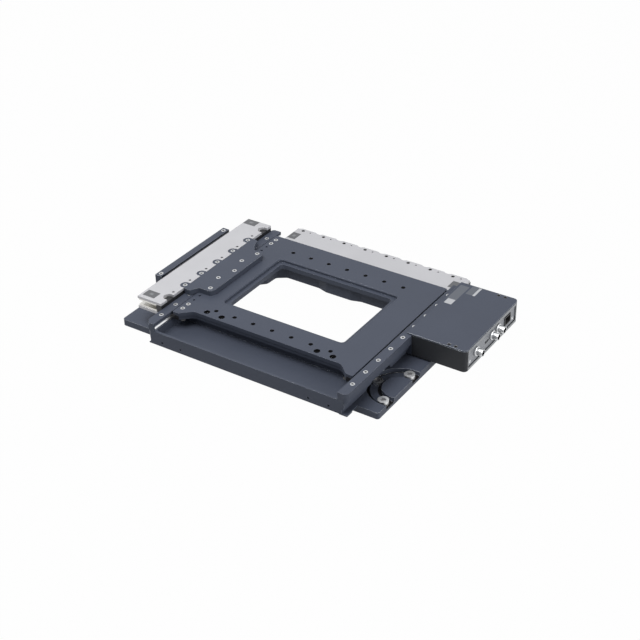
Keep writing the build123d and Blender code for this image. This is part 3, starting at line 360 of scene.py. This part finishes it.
# Black screws: small socket heads of black-oxide steel, slightly oily.
# They hold the cover of the box and the plates of the two tracks.
def solids(shape):
    """The corners of each separate solid of a shape."""
    waiting = set(shape.verts)
    while waiting:
        solid = {waiting.pop()}
        front = list(solid)
        while front:
            vert = front.pop()
            for edge in vert.link_edges:
                other = edge.other_vert(vert)
                if other not in solid:
                    solid.add(other)
                    front.append(other)
        waiting -= solid
        yield solid


def paint_shade_in_sockets(shape, axis, share, depth, number):
    """Paints shade into the sockets and mouths sunk into each solid's end, as the finish of that
    number.
    """
    round_axes = [i for i in range(3) if i != axis]
    for solid in solids(shape):
        middle = [
            (min(v.co[i] for v in solid) + max(v.co[i] for v in solid)) / 2 for i in round_axes
        ]
        reach = {
            v: math.hypot(*[v.co[i] - m for i, m in zip(round_axes, middle)]) for v in solid
        }
        head = max(reach.values())
        top = max(v.co[axis] for v in solid)
        for face in {face for v in solid for face in v.link_faces}:
            if all(reach[v] < share * head and v.co[axis] > top - depth for v in face.verts):
                face.material_index = number


black_oxide = bare("black_oxide", metal=0.6)
oxide_place = tinted(black_oxide, (0.035, 0.035, 0.038), grain=300.0, amount=0.25)
roughened(
    black_oxide, oxide_place, grain=900.0, strength=0.1, depth=0.00005, low=0.28, high=0.42
)
# The sockets of the black screws are painted near black as shade.
small_sockets_shaded = (painted_shade_black, upward, 0.62, 0.002)
for node in ("cover_screws", "x_track_screws", "y_track_screws"):
    edged(node, black_oxide, width=0.00015, sunk_shade=small_sockets_shaded)


# Guide rails: hardened steel, ground on all faces, with the grinding lines along the rail.
# Screws hold them to the base, the frame and the top plate, and hard rollers run between them.
def ground(name, color, lines, low, high):
    """Ground or rolled bare metal, its fine lines running the long way."""
    material = bare(name, metal=1.0)
    place = tinted(material, color, grain=60.0, amount=0.05)
    grit = roughened(
        material, place, grain=1.0, strength=0.1, depth=0.00004, low=low, high=high
    )
    tree = material.node_tree
    stretch = tree.nodes.new("ShaderNodeMapping")
    stretch.inputs["Scale"].default_value = lines
    tree.links.new(place.outputs["Object"], stretch.inputs["Vector"])
    tree.links.new(stretch.outputs["Vector"], grit.inputs["Vector"])
    return material


def finished(material, *names):
    """Gives a solid whose shape is right its finish."""
    for name in names:
        for finish in frame["nodes"][name].material_slots:
            finish.material = material


rail_steel = (0.78, 0.79, 0.80)
ground_x = ground("ground_x", rail_steel, (60.0, 2600.0, 2600.0), low=0.22, high=0.36)
ground_y = ground("ground_y", rail_steel, (2600.0, 60.0, 2600.0), low=0.22, high=0.36)
for fit in ("fixed", "moving"):
    for side in ("front", "rear"):
        edged(f"x_rail_{side}_{fit}", ground_x, width=0.0002)
for fit in ("fixed", "moving"):
    for side in ("left", "right"):
        edged(f"y_rail_{side}_{fit}", ground_y, width=0.0002)
finished(ground_x, "x_rollers", "y_rollers", "x_stop_pin", "y_stop_pin")

# Roller cages: thin brass strip, punched with one square window for each roller.
# They lie loose between the rails and run at half the carriage's speed.
cage_brass = ground("cage_brass", (0.72, 0.57, 0.30), (900.0, 900.0, 900.0), low=0.25, high=0.4)
finished(cage_brass, "x_cages", "y_cages")

# Bright screws: stainless socket heads, turned, with a broken edge round the head.
# They hold the clamp bars, the rails, the bracket, the coil bars and the connector panel.
turned_lines = (3000.0, 3000.0, 3000.0)
bright_steel = ground("bright_steel", (0.60, 0.61, 0.62), turned_lines, low=0.24, high=0.34)
# The sockets of the bright screws are painted dark grey as shade.
painted_socket_shade = blasted(
    "painted_socket_shade", (0.10, 0.10, 0.105), low=0.5, high=0.6, metal=0.3, sheen=0.3
)
bright_sockets_shaded = (painted_socket_shade, upward, 0.6, 0.0022)
for node in ("clamp_bar_screws", "bracket_screws", "plate_screws", "coil_bar_screws"):
    edged(node, bright_steel, width=0.0002, sunk_shade=bright_sockets_shaded, soft=False)
edged("panel_screws", bright_steel, width=0.0002)
finished(
    bright_steel,
    "x_fixed_rail_screws",
    "x_moving_rail_screws",
    "arm_screws",
    "y_moving_rail_screws",
)

# Groove screws: three low stainless heads in the horseshoe groove, turned brighter than the rest.
# Each has a shallow socket and clamps on the rib.
turned_steel = ground("turned_steel", (0.74, 0.75, 0.76), turned_lines, low=0.3, high=0.42)
# The shallow sockets of the groove screws are painted mid grey as shade.
painted_groove_socket_shade = blasted(
    "painted_groove_socket_shade", (0.30, 0.30, 0.31), low=0.5, high=0.6, metal=0.3, sheen=0.3
)
groove_sockets_shaded = (painted_groove_socket_shade, upward, 0.6, 0.0028)
edged(
    "arc_screws", turned_steel, width=0.0004, sunk_shade=groove_sockets_shaded, soft=False
)

# Closing plug: a small turned steel plug, a little proud of the base's front face.
# It is pressed into the cross-drilled hole there.
plug_middle = (0.1246, -0.1096, 0.0047)
plug_radius = 0.0016
plug_length = 0.0012
shape = bmesh.new()
bmesh.ops.create_cone(
    shape,
    cap_ends=True,
    segments=24,
    radius1=plug_radius,
    radius2=plug_radius,
    depth=plug_length,
    matrix=Matrix.Translation(plug_middle) @ Matrix.Rotation(math.radians(90.0), 4, "X"),
)
bmesh.ops.bevel(
    shape,
    geom=list(shape.edges),
    offset=0.0002,
    segments=2,
    affect="EDGES",
    profile=0.5,
    material=-1,
    clamp_overlap=True,
)
placed("front_plug", shape, [bright_steel], "base")


# Magnet tracks: ground steel plates with a satin nickel skin, a blackened spacer between them,
# and nickel-plated magnets glued to both inner faces. The upper plates carry bare grey fields.
def marked(shape, low, high, level, number):
    """Cuts a rectangular field into a level face and gives it the finish of that number."""
    right, rear = (1, 0, 0), (0, 1, 0)
    for corner, across in ((low, right), (low, rear), (high, right), (high, rear)):
        flat = [f for f in shape.faces if abs(f.calc_center_median().z - level) < same_place]
        rims = {edge for face in flat for edge in face.edges}
        tips = {vert for face in flat for vert in face.verts}
        bmesh.ops.bisect_plane(
            shape,
            geom=[*flat, *rims, *tips],
            plane_co=(*corner, level),
            plane_no=across,
            dist=same_cut,
        )
    for face in shape.faces:
        spot = face.calc_center_median()
        inside = low[0] < spot.x < high[0] and low[1] < spot.y < high[1]
        if inside and abs(spot.z - level) < same_place:
            face.material_index = number


same_cut = 0.000001
satin_nickel = blasted("satin_nickel", (0.50, 0.50, 0.52), low=0.42, high=0.56, metal=0.35)
label_grey = blasted(
    "label_grey", (0.09, 0.093, 0.10), low=0.4, high=0.5, metal=0.0, sheen=0.5
)
label_pale = blasted(
    "label_pale", (0.17, 0.175, 0.185), low=0.4, high=0.5, metal=0.0, sheen=0.5
)
x_track_fields = (
    ((-0.1203, 0.126), (-0.109, 0.141), label_grey),
    ((0.1038, 0.126), (0.1158, 0.141), label_grey),
    ((-0.1168, 0.1315), (-0.1128, 0.136), label_pale),
)
y_track_fields = (
    ((-0.1606, -0.098), (-0.1441, -0.086), label_grey),
    ((-0.163, 0.095), (-0.146, 0.107), label_grey),
    ((-0.1545, -0.0935), (-0.1500, -0.0900), label_pale),
    ((-0.1568, 0.0993), (-0.1523, 0.1028), label_pale),
)
for node, fields in (
    ("x_track_lower", ()),
    ("y_track_lower", ()),
    ("x_track_upper", x_track_fields),
    ("y_track_upper", y_track_fields),
):
    edged(node, satin_nickel, fields=fields)
for node in ("x_track_spacer", "y_track_spacer"):
    edged(node, black_oxide)
nickel = ground("nickel", (0.66, 0.65, 0.62), (400.0, 400.0, 400.0), low=0.2, high=0.34)
finished(nickel, "x_track_magnets", "y_track_magnets")

# Lower frame and its bars: milled from plate, blasted and anodised like the base.
# The clamp bars are screwed down on the Y rails, and the coil bars and their arm carry the coils.
edged("x_frame", dark_plate, width=0.0004, rim_highlight=painted_edge_highlight)
for node in ("clamp_bar_left", "clamp_bar_right", "x_coil_bar", "y_coil_bar", "y_coil_arm"):
    edged(node, dark_plate, rim_highlight=painted_edge_highlight)

# Frame lips: the frame's front wall goes on past the ends of the two fixed Y rails and closes
# them in. A thin guard plate and a small foot, dyed like the frame, sit under its front edge.
lip_size = (0.0075, 0.0017, 0.006)
lip_left = (-0.12135, -0.13085, 0.029)
lip_right = (0.12355, -0.13085, 0.029)
guard_size = (0.2572, 0.0204, 0.0012)
guard_middle = (0.0022, -0.1214, 0.0095)
foot_size = (0.0106, 0.0106, 0.003)
foot_middle = (0.1255, -0.1256, 0.0085)
shape = bmesh.new()
for middle, size, corner in (
    (lip_left, lip_size, 0.0002),
    (lip_right, lip_size, 0.0002),
    (guard_middle, guard_size, 0.0003),
    (foot_middle, foot_size, 0.0012),
):
    place = Matrix.Translation(middle) @ Matrix.Diagonal((*size, 1.0))
    block = bmesh.ops.create_cube(shape, size=1.0, matrix=place)
    rims = list({edge for vert in block["verts"] for edge in vert.link_edges})
    bmesh.ops.bevel(
        shape,
        geom=rims,
        offset=corner,
        segments=3,
        affect="EDGES",
        profile=0.5,
        material=-1,
    )
placed("frame_lips", shape, [dark_plate], "x_carriage")

# Coils: flat windings cast in black resin, one blade for each axis.
# Each is screwed to its coil bar and runs between the two plates of its track.
resin = bare("resin")
resin_place = tinted(resin, (0.045, 0.045, 0.05), grain=120.0, amount=0.2)
roughened(resin, resin_place, grain=500.0, strength=0.2, depth=0.0001, low=0.35, high=0.55)
finished(resin, "x_coil", "y_coil")

# Top plate: the flattest piece, milled and anodised, with the stepped opening for the insert.
# Its tapped rows lie before and behind the opening. The track's bracket is screwed to its left.
row_pitch = 0.025
row_distance = 0.075
row_radius = 0.0027
mount_row = -0.082
mount_columns = (0.0625, 0.0825)
mount_radius = 0.0042
row_spots = [
    (row_pitch * (i - 3), y) for i in range(7) for y in (-row_distance, row_distance)
]
mount_spots = [(side * x, mount_row) for side in (-1, 1) for x in mount_columns]
# The holes of the tapped rows and the mounts are painted near black as shade.
plate_shade_bores = [(x, y, row_radius) for x, y in row_spots]
plate_shade_bores += [(x, y, mount_radius) for x, y in mount_spots]
edged(
    "top_plate",
    dark_plate,
    width=0.0006,
    rim_highlight=painted_edge_highlight,
    shade_bores=plate_shade_bores,
)
edged("track_bracket", dark_plate, width=0.0005, rim_highlight=painted_edge_highlight)

# Plate threads: the threads that take an insert's screws, cut in the top plate's tapped rows.
# They are painted near black as shade.
thread_wall = 0.00248
thread_root = 0.00245
thread_crest = 0.0021
thread_pitch = 0.0008
thread_turns = 9
thread_bottom = 0.0281
thread_top = 0.0353
shape = bmesh.new()
for x, y in row_spots:
    profile = [(thread_wall, thread_bottom), (thread_wall, thread_top)]
    for turn in range(thread_turns):
        profile.append((thread_root, thread_top - thread_pitch * turn - 0.0001))
        profile.append((thread_crest, thread_top - thread_pitch * turn - 0.0005))
    verts = [shape.verts.new((x + out, y, up)) for out, up in profile]
    edges = [shape.edges.new(pair) for pair in zip(verts, verts[1:] + verts[:1])]
    bmesh.ops.spin(
        shape,
        geom=verts + edges,
        cent=(x, y, 0),
        axis=(0, 0, 1),
        angle=2 * math.pi,
        steps=20,
        use_merge=True,
    )
bmesh.ops.remove_doubles(shape, verts=shape.verts, dist=same_corner)
bmesh.ops.recalc_face_normals(shape, faces=shape.faces)
placed("plate_threads", shape, [painted_shade_black], "y_carriage")

# Controller box: a milled housing under a thin cover, both anodised, the housing darker.
# The housing's right end is painted paler grey for the light it catches.
# The cover carries bare grey and white fields.
to_right = 0
housing_right = 0.197
housing_black = blasted("housing_black", (0.03, 0.032, 0.036), low=0.4, high=0.55, metal=0.2)
# Painted light: the housing's right end face is a paler grey than the black housing.
painted_light_end = blasted("painted_light_end", (0.26, 0.27, 0.28), low=0.35, high=0.5, metal=0.3, sheen=0.5)
edged(
    "controller_housing",
    housing_black,
    width=0.0005,
    rim_highlight=painted_edge_highlight,
    ends=((to_right, housing_right, painted_light_end),),
)
slate_label = blasted(
    "slate_label", (0.085, 0.095, 0.115), low=0.4, high=0.5, metal=0.0, sheen=0.5
)
white_label = blasted(
    "white_label", (0.42, 0.43, 0.45), low=0.4, high=0.5, metal=0.0, sheen=0.5
)
cover_fields = (
    ((0.128, 0.081), (0.139, 0.113), slate_label),
    ((0.1293, 0.0705), (0.1385, 0.081), white_label),
    ((0.1412, 0.099), (0.1495, 0.1175), slate_label),
    ((0.1495, 0.099), (0.1525, 0.1175), white_label),
)
edged("controller_cover", dark_plate, rim_highlight=painted_edge_highlight, fields=cover_fields)

# Connector panel: a flat sheet with a satin grey skin, held by two screws.
# Bright round sockets stand out of it, each held by a nut.
panel_grey = blasted("panel_grey", (0.25, 0.26, 0.28), low=0.3, high=0.45, metal=0.4)
edged("connector_panel", panel_grey, width=0.0002)
# The mouths of the connector sockets are painted near black as shade.
connector_mouths_shaded = (painted_shade_black, to_right, 0.8, 0.014)
edged("connector_sockets", bright_steel, sunk_shade=connector_mouths_shaded)
edged("connector_nuts", bright_steel)

# Moulded pieces: the signal jack, the read heads and the glide pads under the plate's corners.
# All are of black, slightly grained plastic. The rail end stops beside them are blackened steel.
moulded = bare("moulded")
moulded_place = tinted(moulded, (0.03, 0.03, 0.032), grain=200.0, amount=0.15)
roughened(
    moulded, moulded_place, grain=1500.0, strength=0.15, depth=0.00008, low=0.42, high=0.6
)
edged("signal_jack", moulded)
edged("corner_bumpers", moulded, width=0.0002)
edged("rail_end_stops", black_oxide, width=0.0002)
finished(moulded, "x_encoder_head", "y_encoder_head")

# Ruled scales: thin steel tape with fine lines across it, glued on along each axis.
# The read heads pass over them.
ruled = ground("ruled", (0.80, 0.74, 0.58), (900.0, 900.0, 900.0), low=0.2, high=0.35)
finished(ruled, "x_encoder_scale", "y_encoder_scale")

# Circuit board: green solder resist over copper.
# It stands on posts in the housing.
board_green = bare("board_green")
board_place = tinted(board_green, (0.03, 0.20, 0.09), grain=90.0, amount=0.2)
roughened(
    board_green, board_place, grain=600.0, strength=0.1, depth=0.00005, low=0.25, high=0.4
)
finished(board_green, "circuit_board")
